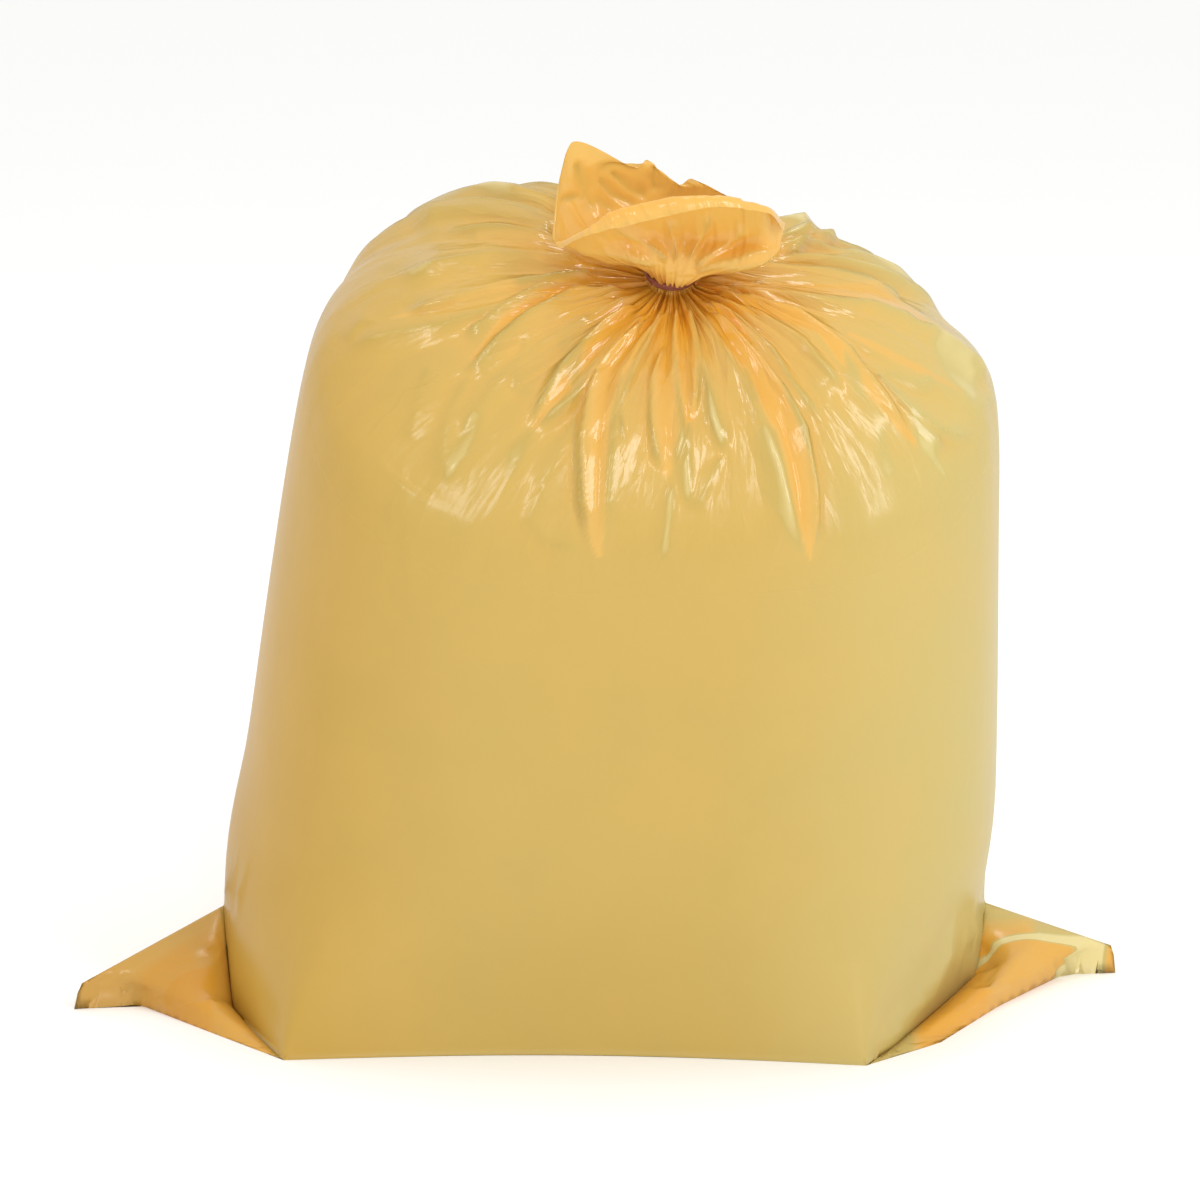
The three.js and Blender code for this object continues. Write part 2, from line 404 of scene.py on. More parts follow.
def normalsOf(points):
    du = np.roll(points, -1, 1) - np.roll(points, 1, 1)
    dv = np.empty_like(points)
    dv[1:-1] = points[2:] - points[:-2]
    dv[0] = points[1] - points[0]
    dv[-1] = points[-1] - points[-2]
    n = np.cross(du, dv)
    return n / np.maximum(np.linalg.norm(n, axis=-1, keepdims=True), 1e-9)


# Tucks and creases that the photograph shows. Each has its way in photo points, from the neck outwards,
# how far its slopes reach on the right and the left hand of the way, in photo pixels, and its height in mm.
creases = {
    "top": [
        ([(694, 314), (715, 345), (738, 380), (760, 425), (778, 470), (790, 520), (806, 558)], (30, 26),
         7),
        ([(700, 308), (728, 330), (757, 360), (784, 395), (803, 430), (814, 490), (815, 530), (809, 560)],
         (26, 6), 9),
        ([(655, 318), (626, 341), (600, 368), (588, 400), (581, 440), (582, 500), (592, 554)], (6, 24),
         8),
        ([(664, 316), (640, 345), (622, 375), (615, 420), (612, 460), (604, 520), (598, 556)], (22, 24),
         6),
        ([(668, 308), (649, 344), (634, 373), (620, 411), (623, 438), (632, 462)], (20, 7), 6),
        ([(677, 306), (673, 335), (673, 370), (677, 405), (684, 424)], (8, 16), 5),
        ([(688, 308), (697, 340), (700, 368), (697, 394), (692, 418)], (16, 6), 6),
        ([(694, 330), (704, 373), (712, 417), (726, 457)], (10, 22), 5),
        ([(664, 345), (652, 380), (650, 420), (655, 455), (668, 474)], (5, 18), 5),
        ([(676, 345), (680, 400), (682, 440), (672, 474)], (18, 5), 5),
        ([(688, 420), (686, 447), (690, 508)], (16, 10), 2.2),
        ([(722, 455), (717, 467), (704, 490), (693, 513)], (14, 12), 2),
        ([(674, 480), (670, 500), (664, 561)], (12, 14), 1.8),
        ([(640, 306), (605, 325), (580, 350), (560, 372), (545, 400), (527, 428)], (8, 20), 7),
        ([(648, 314), (620, 345), (598, 372), (575, 400), (550, 420), (530, 430)], (18, 8), 7),
        ([(636, 300), (576, 300), (552, 306), (528, 326), (525, 346), (514, 370), (516, 388), (541, 401)],
         (8, 28), 3),
        ([(630, 292), (575, 292), (529, 316), (500, 340), (479, 364), (456, 376)], (6, 22), 7),
        ([(560, 284), (538, 288), (506, 306), (485, 324), (459, 340)], (6, 18), 6),
        ([(545, 278), (500, 288), (453, 303), (400, 316)], (16, 6), 6),
        ([(600, 274), (560, 277), (520, 284), (480, 294), (430, 303)], (6, 16), 6),
        ([(585, 262), (540, 258), (490, 257), (440, 266), (395, 285)], (22, 12), 6),
        ([(560, 238), (520, 226), (480, 219), (440, 222), (410, 236)], (24, 14), 6),
        ([(552, 216), (515, 203), (475, 195), (440, 200)], (16, 20), 4),
        ([(428, 365), (420, 394), (406, 447)], (12, 30), 1.5),
        ([(470, 372), (450, 410), (443, 440), (442, 482)], (14, 30), 2),
        ([(486, 400), (478, 430), (462, 455), (444, 484)], (24, 14), 1.6),
        ([(380, 325), (362, 322), (345, 345)], (12, 14), 2),
        ([(560, 292), (520, 304), (450, 326), (395, 336), (340, 350)], (20, 14), 5),
        ([(600, 312), (540, 345), (500, 380), (470, 420), (455, 450)], (26, 20), 3),
        ([(575, 420), (560, 450), (545, 480), (530, 486)], (12, 20), 1.6),
        ([(572, 455), (545, 485), (530, 520), (545, 540), (570, 548), (592, 556)], (10, 26), 1.4),
        ([(700, 300), (737, 321), (770, 352), (790, 385), (808, 406), (825, 424)], (22, 7), 7),
        ([(704, 296), (752, 304), (796, 316), (825, 336), (848, 354), (862, 374), (880, 397), (898, 422),
          (916, 446)],
         (26, 8), 8),
        ([(706, 300), (760, 318), (800, 345), (830, 380), (850, 400)], (18, 14), 6),
        ([(705, 290), (760, 297), (820, 304), (868, 308), (905, 321), (940, 345)], (8, 18), 7),
        ([(742, 300), (752, 286), (760, 284), (800, 286), (860, 294), (900, 302)], (5, 12), 4),
        ([(700, 284), (750, 273), (800, 268), (850, 276), (900, 290), (925, 310)], (18, 10), 6),
        ([(850, 355), (880, 375), (918, 385), (945, 372)], (18, 12), 3),
        ([(868, 370), (900, 402), (940, 432), (975, 440)], (8, 20), 5),
        ([(900, 322), (930, 330), (955, 345), (975, 362), (990, 385)], (16, 6), 6),
        ([(905, 395), (935, 385), (960, 392), (975, 410), (985, 400), (992, 385)], (14, 14), 2),
        ([(880, 385), (905, 400), (925, 422), (945, 455)], (18, 6), 4),
                ([(788, 262), (799, 240), (797, 204)], (22, 26), 10),
        ([(795, 246), (815, 246), (832, 240)], (8, 14), 6),
        ([(800, 262), (850, 262), (890, 280), (930, 305), (950, 325)], (16, 10), 5),
    ],
    "body": [
        ([(398, 372), (404, 500), (412, 600), (440, 760), (480, 950)], (50, 70), 1.5),
        ([(850, 815), (700, 830), (650, 860), (600, 930)], (14, 40), 2.5),
        ([(900, 900), (820, 935), (760, 985), (720, 1030)], (10, 30), 2),
        ([(990, 915), (982, 950), (972, 992)], (16, 5), 6),
        ([(985, 918), (952, 938), (930, 985), (895, 1025), (868, 1063)], (8, 26), 5),
        ([(945, 997), (962, 1002), (952, 1028)], (6, 6), 3),
        ([(965, 948), (945, 970), (915, 1005)], (8, 12), 3),
        ([(250, 896), (236, 892), (226, 884)], (8, 8), 3),
    ],
    "ears": [
        ([(198, 948), (196, 966)], (5, 5), 3),
        ([(199, 946), (213, 972)], (5, 5), 3),
        ([(200, 1001), (216, 1005)], (5, 5), 3),
        ([(78, 991), (100, 994), (137, 1007)], (5, 5), -3),
        ([(1118, 946), (1085, 957), (1050, 967), (1018, 979), (975, 993)], (8, 10), 4),
        ([(985, 940), (980, 990)], (16, 30), -6),
    ],
    "knotBack": [
        ([(598, 178), (612, 196), (640, 208)], (5, 12), 3),
        ([(610, 172), (628, 190), (650, 200)], (5, 12), 3),
        ([(575, 160), (590, 200), (600, 215)], (12, 14), 4),
        ([(560, 200), (590, 196), (620, 215)], (8, 12), 3),
        ([(655, 165), (652, 180), (655, 195)], (6, 12), 3),
    ],
    "knotFront": [
        ([(690, 262), (700, 240), (712, 212)], (5, 16), 4),
        ([(694, 268), (722, 250), (750, 225)], (5, 16), 4),
        ([(696, 272), (735, 262), (775, 250)], (5, 14), 4),
        ([(676, 262), (672, 240), (668, 215)], (14, 6), 4),
        ([(668, 262), (640, 240), (610, 225)], (14, 6), 4),
        ([(655, 266), (620, 255), (570, 248)], (12, 6), 3),
    ],
}

# Where the film lies folded over itself, so that the eye looks through three layers, and painted highlights,
# pale facets painted as if they caught the lamps: the middle of each such leaf in photo points, half its
# width at each of them, and how deep its colour is, negative for a painted highlight.
leavesAndHighlights = {
    "top": [
        ([(696, 292), (725, 325), (745, 356), (765, 390), (782, 428), (795, 464), (806, 514), (810, 559)],
         (6, 10, 11, 12, 12, 13, 12, 1), 0.62),
        ([(706, 296), (741, 308), (782, 315), (821, 335), (841, 359), (865, 388), (898, 426), (918, 447)],
         (4, 9, 9, 6, 7, 7, 6, 1), 0.6),
        ([(706, 291), (745, 292), (808, 295), (870, 299), (915, 319), (940, 332)], (3, 5, 7, 7, 4, 1),
         0.45),
        ([(850, 335), (880, 350), (920, 371), (961, 393)], (2, 4, 4, 1), 0.4),
        ([(681, 300), (684, 340), (687, 380), (690, 417)], (5, 8, 10, 5), 0.5),
        ([(668, 306), (663, 350), (662, 390), (666, 430), (667, 473)], (6, 10, 13, 14, 4), 0.45),
        ([(656, 306), (625, 350), (604, 385), (594, 421), (592, 470), (594, 520), (599, 555)],
         (6, 12, 15, 16, 14, 12, 3), 0.5),
        ([(648, 298), (612, 335), (578, 370), (552, 405), (533, 430)], (6, 7, 8, 6, 1), 0.55),
        ([(640, 290), (590, 285), (545, 297), (505, 323), (475, 358)], (6, 6, 6, 4, 1), 0.5),
        ([(636, 284), (570, 279), (500, 290), (440, 306), (392, 319)], (7, 6, 5, 4, 1), 0.35),
        ([(640, 272), (590, 262), (540, 250), (480, 240)], (12, 14, 12, 3), 0.25),
        ([(600, 310), (572, 345), (575, 385)], (5, 14, 5), -0.22),
        ([(578, 395), (574, 420), (577, 480), (581, 530)], (2, 4, 4, 1), -0.25),
        ([(700, 375), (711, 415), (725, 454)], (4, 7, 1), -0.28),
        ([(688, 432), (684, 470), (689, 510)], (4, 9, 1), -0.25),
        ([(671, 494), (664, 560)], (5, 1), -0.22),
        ([(765, 440), (775, 490), (800, 550)], (12, 14, 2), -0.2),
        ([(744, 372), (752, 400)], (3, 5), -0.28),
        ([(842, 358), (850, 378), (860, 398)], (2, 6, 3), -0.25),
        ([(940, 345), (955, 365), (972, 395)], (8, 14, 5), -0.25),
        ([(910, 414), (924, 444), (945, 476)], (2, 7, 1), -0.26),
        ([(878, 432), (888, 470)], (4, 6), -0.2),
        ([(828, 269), (870, 275), (912, 290)], (3, 6, 2), -0.25),
        ([(478, 418), (460, 450), (443, 484)], (5, 9, 1), -0.22),
        ([(530, 432), (515, 455), (509, 478)], (4, 8, 1), -0.22),
        ([(442, 193), (475, 192), (510, 205), (540, 225)], (3, 7, 5, 1), -0.25),
        ([(385, 268), (412, 272)], (3, 5), -0.2),
        ([(520, 286), (550, 280), (584, 272)], (4, 6, 4), -0.35),
        ([(782, 240), (797, 218), (815, 232), (826, 240)], (8, 14, 10, 3), -0.35),
    ],
    "ears": [
        ([(198, 946), (201, 968)], (3, 4), -0.35),
        ([(200, 946), (214, 974)], (2, 2), -0.28),
    ],
}

# Pleats on the back, which the photograph doesn't show, and what the film does by itself.
pleats = {
    "hidden": 17,
    "hiddenHeight": (6.0, 11.0),
    "steepness": 0.95,
    "seed": 11,
    "noiseSeed": 5,
    "noiseHeight": 0.45,
    "spread": 1.5,
    "cusp": 1.7,  # 1 is a tent, more is a sharp ridge between hollow slopes
    "bodyNoise": 0.8,
    "leafEdge": 3,  # how soft the edge of a folded leaf is, in photo pixels
    # how soft the edge of a painted highlight is, in photo pixels
    "paintedHighlightEdge": 9,
}


def firstTopRow():
    return film["footRows"] + film["wallRows"]


def firstKnotRow():
    return firstTopRow() + film["topRows"] + film["neckRows"]


def nearWay(seen, way):
    # how far each point lies from the way in photo pixels, positive on its right hand, and how far along
    way = np.array(way, float)
    steps = np.diff(way, axis=0)
    lengths = np.hypot(steps[:, 0], steps[:, 1])
    nearest = np.full(seen.shape[:2], 1e9)
    hand = np.ones(seen.shape[:2])
    share = np.zeros(seen.shape[:2])
    for i, (step, length) in enumerate(zip(steps, lengths)):
        t = np.clip(((seen - way[i]) @ step) / length ** 2, 0, 1)
        off = seen - (way[i] + t[..., None] * step)
        away = np.hypot(off[..., 0], off[..., 1])
        closer = away < nearest
        nearest = np.where(closer, away, nearest)
        hand = np.where(closer, np.sign(step[0] * off[..., 1] - step[1] * off[..., 0]), hand)
        share = np.where(closer, (lengths[:i].sum() + t * length) / lengths.sum(), share)
    return nearest * hand, share


def creased(base):
    # the height that the seen creases add, and how much deeper the leaves are, less where a highlight is
    # painted
    seen = toPhoto(base)
    tilt = math.radians(viewpoint["elevation"])
    normals = normalsOf(base)
    facing = smooth((normals[..., 2] * math.sin(tilt) - normals[..., 1] * math.cos(tilt)) / 0.2)
    rows = np.arange(base.shape[0])[:, None]
    turn = np.arange(base.shape[1])[None, :] / base.shape[1]
    top, knotStart = firstTopRow(), firstKnotRow()
    places = {
        "top": facing * (rows > film["footRows"] + 10) * (rows < knotStart - film["neckRows"]),
        "body": facing * (rows >= film["footRows"]) * (rows < top + 20),
        "ears": facing * (rows <= film["footRows"]) * (rows > 2),
        "knotFront": (turn > 0.02) * (turn < 0.5) * (rows > knotStart + 4),
        "knotBack": (turn > 0.6) * (rows > knotStart + 20),
    }
    height = np.zeros(base.shape[:2])
    leafLayersAndHighlights = np.zeros(base.shape[:2])
    valley = np.zeros(base.shape[:2])
    for place, lines in creases.items():
        for way, (rightReach, leftReach), rise in lines:
            away, share = nearWay(seen, way)
            reach = np.where(away > 0, rightReach, leftReach) * (0.35 + 0.65 * smooth(share / 0.5))
            form = np.clip(1 - np.abs(away) / (reach * pleats["spread"]), 0, 1) ** pleats["cusp"]
            fade = smooth(share / 0.1) * smooth((1 - share) / 0.2) * places[place]
            if rise > 0:
                height = np.maximum(height, rise * form * fade)
            else:
                valley = np.minimum(valley, rise * form * fade)
    # the leaves deepen the colour, and those with a negative depth are painted highlights
    for place, areas in leavesAndHighlights.items():
        for way, halfWidths, colour in areas:
            away, share = nearWay(seen, way)
            marks = np.linalg.norm(np.diff(np.array(way, float), axis=0), axis=1)
            half = np.interp(share, np.concatenate([[0], np.cumsum(marks)]) / marks.sum(), halfWidths)
            edge = pleats["leafEdge"] if colour > 0 else pleats["paintedHighlightEdge"]
            inside = smooth((half - np.abs(away)) / edge + 0.5) * places[place]
            leafLayersAndHighlights = mix(leafLayersAndHighlights, colour, inside)
    return height + valley, leafLayersAndHighlights


def hiddenPleats(base):
    rows, columns = base.shape[:2]
    dice = np.random.default_rng(pleats["seed"])
    top, last = firstTopRow(), firstTopRow() + film["topRows"]
    hoop = np.linalg.norm(np.roll(base, -1, 1) - base, axis=-1)
    gaps = dice.uniform(0.6, 1.5, pleats["hidden"] + 1)
    edges = columns / 2 + columns / 2 * np.cumsum(gaps) / gaps.sum()
    height = np.zeros((rows, columns))
    col = np.arange(columns)
    for i in range(pleats["hidden"]):
        end = top + film["topRows"] * dice.uniform(0.0, 0.5)
        rise = dice.uniform(*pleats["hiddenHeight"])
        lean = dice.uniform(-0.6, 0.6)
        sway = dice.uniform(-4, 4)
        half = (edges[i + 1] - edges[i]) * 0.5
        for r in range(int(end), last):
            along = (r - end) / (last - end)
            s = (col - edges[i] - sway * (1 - along) ** 2) / (half * mix(0.55, 1.0, smooth(along * 3)))
            form = np.clip(np.minimum((s + 1) / (1 + lean), (1 - s) / (1 - lean)), 0, 1)
            room = half * hoop[r].mean() * pleats["steepness"]
            height[r] = np.maximum(height[r], min(rise, room) * smooth(along / 0.2) * form)
    return height


def gathered(base):
    # fine folds where the band holds the film
    rows, columns = base.shape[:2]
    r = np.arange(rows)[:, None]
    start, end = firstKnotRow() - film["neckRows"], firstKnotRow()
    window = smooth((r - start + 26) / 22) * smooth((end + 14 - r) / 12)
    window = window * (1 - neck["bandGrip"] * smooth((r - start) / 2) * smooth((end + 1 - r) / 2))
    turn = 2 * math.pi * np.arange(columns)[None, :] / columns
    wave = np.cos(neck["gathers"] * turn + 1.7 * np.sin(5 * turn)) + 0.5 * np.cos(17 * turn + 1.0)
    return neck["gatherHeight"] * window * wave * mix(1.0, 1.6, smooth((start - r) / 20))


def softNoise(rows, columns, high, cells, dice):
    # random waves, smooth over so many rows, with so many of them round the bag
    grid = dice.normal(0, 1, (rows // high + 4, cells))
    row, column = np.arange(rows) / high, np.arange(columns) * cells / columns
    i, j = np.floor(row).astype(int), np.floor(column).astype(int)
    down = mix(grid[i], grid[i + 1], smooth(row - i)[:, None])
    return mix(down[:, j], down[:, (j + 1) % cells], smooth(column - j)[None, :])


def creaseFilm(base):
    dice = np.random.default_rng(pleats["noiseSeed"])
    rows, columns = base.shape[:2]
    top, knotStart = firstTopRow(), firstKnotRow()
    last = top + film["topRows"]
    r = np.arange(rows)[:, None]
    seenHeight, leafLayersAndHighlights = creased(base)
    reach = smooth((r - top + 14) / 34) * np.ones((rows, columns))
    noise = softNoise(rows, columns, 26, 50, dice) + softNoise(rows, columns, 18, 100, dice) * 0.5
    wide = softNoise(rows, columns, 14, 16, dice) * pleats["bodyNoise"]
    wall = smooth((r - film["footRows"]) / 8)
    noise = noise * pleats["noiseHeight"] * reach + wide * wall * smooth((top + 10 - r) / 20)
    noise[last:knotStart] = 0
    height = seenHeight + hiddenPleats(base) + gathered(base) + noise
    normals = normalsOf(base)
    points = base + normals * height[..., None]
    return points, leafLayersAndHighlights


def makeFilm(points, attributes):
    rows, columns = points.shape[:2]
    # the first row is welded: the back half lies on the front half
    index = np.arange(rows * columns).reshape(rows, columns)
    half = columns // 2
    for c in range(half + 1, columns):
        index[0, c] = index[0, columns - c]
    # above the foot the back half has every second column only
    every = np.arange(columns)
    kept = np.concatenate([every[:half], every[half::2]])
    faces = []
    for r in range(rows - 1):
        low, high = index[r], index[r + 1]
        if r < film["footRows"]:
            faces += np.stack([low, np.roll(low, -1), np.roll(high, -1), high], -1).tolist()
            continue
        after = np.roll(kept, -1)
        front = slice(0, half) if r == film["footRows"] else slice(0, len(kept))
        faces += np.stack([low[kept], low[after], high[after], high[kept]], -1)[front].tolist()
        if r == film["footRows"]:
            back, next2 = kept[half:], after[half:]
            faces += np.stack([low[back], low[back + 1], low[next2], high[next2], high[back]],
                              -1).tolist()
    flat = points.reshape(-1, 3) / 1000
    used = np.unique(np.concatenate([np.array(face) for face in faces]))
    renumber = np.full(rows * columns, -1)
    renumber[used] = np.arange(len(used))
    cleaned = []
    for face in faces:
        face = [int(renumber[p]) for i, p in enumerate(face) if p != face[i - 1]]
        if len(face) >= 3:
            cleaned.append(face)
    mesh = bpy.data.meshes.new("bag_film")
    mesh.from_pydata(flat[used].tolist(), [], cleaned)
    mesh.update()
    mesh.polygons.foreach_set("use_smooth", [True] * len(mesh.polygons))
    for name, values in attributes.items():
        kind, field = ("FLOAT", "value") if values.ndim == 2 else ("FLOAT_VECTOR", "vector")
        chosen = values.reshape(rows * columns, -1)[used].astype(np.float32)
        mesh.attributes.new(name, kind, "POINT").data.foreach_set(field, chosen.ravel())
    piece = bpy.data.objects.new("bag_film", mesh)
    bpy.context.collection.objects.link(piece)
    return piece


def linear(hexColour, alpha=1.0):
    channels = [int(hexColour[i:i + 2], 16) / 255 for i in (1, 3, 5)]
    return tuple(c / 12.92 if c <= 0.04045 else ((c + 0.055) / 1.055) ** 2.4 for c in channels) + (alpha,)


def addNode(tree, kind, inputs=None, **settings):
    made = tree.nodes.new(kind)
    for name, value in settings.items():
        setattr(made, name, value)
    for name, value in (inputs or {}).items():
        socket = made.inputs[name]
        if isinstance(value, bpy.types.NodeSocket):
            tree.links.new(value, socket)
        else:
            socket.default_value = value
    return made


def ramp(made, stops):
    elements = made.color_ramp.elements
    while len(elements) > 1:
        elements.remove(elements[-1])
    elements[0].position, elements[0].color = stops[0]
    for place, colour in stops[1:]:
        elements.new(place).color = colour


filmFinish = {
    "single": "#ecdc9c",  # one layer, standing off what is behind it; also the colour of the painted highlights
    "body": "#ccae5a",
    # painted light across the bag: the right side paler as a painted sheen, the left side deeper as painted
    # shade; from where to where across the bag, how much of it, and its colour
    "sides": [(0.06, 0.26, 0.75, "#d2c37c"), (-0.06, -0.3, 0.8, "#cd9a24")],
    # from how many layers to how many, and its colour
    "folded": [(0.2, 0.58, "#e8b95e"), (0.58, 1.0, "#eeac38")],
    # how many more layers there are in parts of the ears, each part lying beyond some planes: the way
    # across a plane, and from where to where across it the part begins, in metres
    "earFolds": [
        (-0.3, [((-0.384, 0.923, 0), -0.1135, -0.1165), ((1, 0, 0), 0.25, 0.26)]),
        (0.8, [((-0.384, 0.923, 0), -0.1205, -0.122), ((1, 0, 0), 0.2, 0.21)]),
        (0.85, [((-0.384, 0.923, 0), -0.1165, -0.114), ((1, 0, 0), 0.296, 0.288),
                ((0, 0, 1), 0.042, 0.026),
                ((1, 0, 0), 0.2, 0.21)]),
        (-0.3, [((-0.471, 0.882, 0), 0.082, 0.093), ((1, 0, 0), -0.25, -0.26)]),
        (0.3, [((-0.471, 0.882, 0), 0.064, 0.06), ((1, 0, 0), -0.25, -0.26)]),
    ],
    "paintedLeftShade": "#e6e2d6",  # painted shade: the left end, with its ear, is made a little darker and greyer
    "facetScale": 1 / 0.034,  # flat facets between sharp folds, 34 mm wide
    "facetDepth": 0.0042,
    "facetStray": 0.03,
    "roughness": 0.3,
    "foldedRoughness": 0.09,
    "through": 0.22,  # share of light that comes through the film
    "mottleScale": 1 / 0.055,  # one blotch is about 55 mm
    "mottle": 0.14,
    "crinkleWidth": 1 / 0.009,  # fine creases 9 mm apart, four times as long
    "crinkleDepth": 0.0012,
    "waveScale": 1 / 0.03,
    "waveDepth": 0.0012,
}


def blownPolyethylene():
    # thin blown film: a smooth gloss that breaks up on fine creases, a colour that deepens where layers lie
    # on each other, painted highlights on pale facets, a painted sheen on the right side and painted shade on
    # the left
    material = bpy.data.materials.new("blown_polyethylene_film")
    material.use_nodes = True
    tree = material.node_tree
    tree.nodes.clear()
    node = partial(addNode, tree)
    place = node("ShaderNodeTexCoord").outputs["Object"]
    layers = node("ShaderNodeAttribute", attribute_name="layers").outputs["Fac"]
    crinkled = node("ShaderNodeAttribute", attribute_name="crinkled").outputs["Fac"]
    along = node("ShaderNodeAttribute", attribute_name="filmPlace").outputs["Vector"]
    mottle = node("ShaderNodeTexNoise", {"Vector": place, "Scale": filmFinish["mottleScale"],
                                         "Detail": 3.0})
    layerToneAndHighlight = node("ShaderNodeMath", {0: mottle.outputs["Fac"], 1: filmFinish["mottle"], 2: layers},
                operation="MULTIPLY_ADD")
    inEar = node("ShaderNodeAttribute", attribute_name="inEar").outputs["Fac"]
    for more, limits in filmFinish["earFolds"]:
        share = inEar
        for axis, start, end in limits:
            across = node("ShaderNodeVectorMath", {0: place, 1: axis}, operation="DOT_PRODUCT")
            within = node("ShaderNodeMapRange", {"Value": across.outputs["Value"], "From Min": start,
                                                 "From Max": end})
            share = node("ShaderNodeMath", {0: share, 1: within.outputs["Result"]},
                         operation="MULTIPLY").outputs[0]
        layerToneAndHighlight = node("ShaderNodeMath", {0: share, 1: more, 2: layerToneAndHighlight.outputs[0]}, operation="MULTIPLY_ADD")
    sideways = node("ShaderNodeSeparateXYZ", {"Vector": place}).outputs["X"]
    colour = linear(filmFinish["body"])
    # painted light: the right side is made paler as a painted sheen, the left side deeper as painted shade
    for start, end, share, other in filmFinish["sides"]:
        side = node("ShaderNodeMapRange", {"Value": sideways, "From Min": start, "From Max": end,
                                           "To Max": share}, interpolation_type="SMOOTHSTEP")
        colour = node("ShaderNodeMix", {0: side.outputs["Result"], 6: colour, 7: linear(other)},
                      data_type="RGBA").outputs[2]
    # from the pale single film, which the painted highlights reach, to what is folded many times
    thinAndPaintedHighlight = node("ShaderNodeMapRange", {"Value": layerToneAndHighlight.outputs[0], "From Min": 0.2, "From Max": 0.0})
    colour = node("ShaderNodeMix", {0: thinAndPaintedHighlight.outputs["Result"], 6: colour,
                                    7: linear(filmFinish["single"])}, data_type="RGBA").outputs[2]
    for start, end, other in filmFinish["folded"]:
        more = node("ShaderNodeMapRange", {"Value": layerToneAndHighlight.outputs[0], "From Min": start, "From Max": end})
        colour = node("ShaderNodeMix", {0: more.outputs["Result"], 6: colour, 7: linear(other)},
                      data_type="RGBA").outputs[2]
    # painted shade: the left end is multiplied darker and greyer
    leftShadeMask = node("ShaderNodeMapRange", {"Value": sideways, "From Min": -0.22, "From Max": -0.28})
    colour = node("ShaderNodeMix", {0: leftShadeMask.outputs["Result"], 6: colour,
                                    7: linear(filmFinish["paintedLeftShade"])}, data_type="RGBA",
                                    blend_type="MULTIPLY").outputs[2]
    stretched = node("ShaderNodeMapping", {"Vector": along, "Scale": (1, 1, 0.25)})
    noise = node("ShaderNodeTexNoise", {"Vector": stretched.outputs[0],
                                        "Scale": filmFinish["crinkleWidth"], "Detail": 2.0,
                                        "Roughness": 0.45})
    centred = node("ShaderNodeMath", {0: noise.outputs["Fac"], 1: 0.5}, operation="SUBTRACT")
    sharp = node("ShaderNodeMath", {0: centred.outputs[0]}, operation="ABSOLUTE")
    fine = node("ShaderNodeMath", {0: sharp.outputs[0], 1: crinkled}, operation="MULTIPLY")
    creased = node("ShaderNodeBump", {"Height": fine.outputs[0], "Strength": 1.0,
                                      "Distance": filmFinish["crinkleDepth"]}, invert=True)
    waves = node("ShaderNodeTexNoise", {"Vector": place, "Scale": filmFinish["waveScale"], "Detail": 4.0})
    strays = node("ShaderNodeTexNoise", {"Vector": along, "Scale": 14.0, "Detail": 2.0})
    stray = node("ShaderNodeVectorMath", {0: strays.outputs["Color"], 1: (filmFinish["facetStray"],) * 3,
                                          2: stretched.outputs[0]}, operation="MULTIPLY_ADD")
    facets = node("ShaderNodeTexVoronoi", {"Vector": stray.outputs[0],
                                           "Scale": filmFinish["facetScale"]}, distance="MANHATTAN")
    flat = node("ShaderNodeMath", {0: facets.outputs["Distance"], 1: crinkled}, operation="MULTIPLY")
    faceted = node("ShaderNodeBump", {"Height": flat.outputs[0], "Strength": 1.0,
                                      "Distance": filmFinish["facetDepth"], "Normal": creased.outputs[0]})
    bump = node("ShaderNodeBump", {"Height": waves.outputs["Fac"], "Strength": 0.4,
                                   "Distance": filmFinish["waveDepth"], "Normal": faceted.outputs[0]})
    rough = node("ShaderNodeMapRange", {"Value": crinkled, "To Min": filmFinish["roughness"],
                                        "To Max": filmFinish["foldedRoughness"]})
    skin = node("ShaderNodeBsdfPrincipled", {"Base Color": colour, "Roughness": rough.outputs["Result"],
                                             "IOR": 1.51, "Normal": bump.outputs[0]})
    glow = node("ShaderNodeBsdfTranslucent", {"Color": colour, "Normal": bump.outputs[0]})
    both = node("ShaderNodeMixShader", {0: filmFinish["through"], 1: skin.outputs[0], 2: glow.outputs[0]})
    node("ShaderNodeOutputMaterial", {"Surface": both.outputs[0]})
    return material


def blurred(values, times):
    for _ in range(times):
        values = (np.roll(values, 1, 1) + np.roll(values, -1, 1) + 2 * values) / 4
        inner = (values[:-2] + values[2:] + 2 * values[1:-1]) / 4
        values = np.concatenate([values[:1], inner, values[-1:]])
    return values


# How many layers of film the eye looks through, as a share of the most.
layering = {
    "single": 0.16,
    "neck": (0.7, 62.0, 1.3),  # how much more at the neck, how far that reaches in mm, how sharply it ends
    "shoulder": (0.14, 200.0, 2),
    "valley": 9.0,  # mm of depth that count as one more
    "valleyReach": (320, 200),  # valleys stop counting this far from the neck, over so many mm
    "ears": (0.62, 0.04),  # left and right
    "knot": (0.5, 0.25),  # at the band, and how much less at the mouth
    # how much the leaves and the painted highlights count
    "leafAndHighlight": 0.5,
}


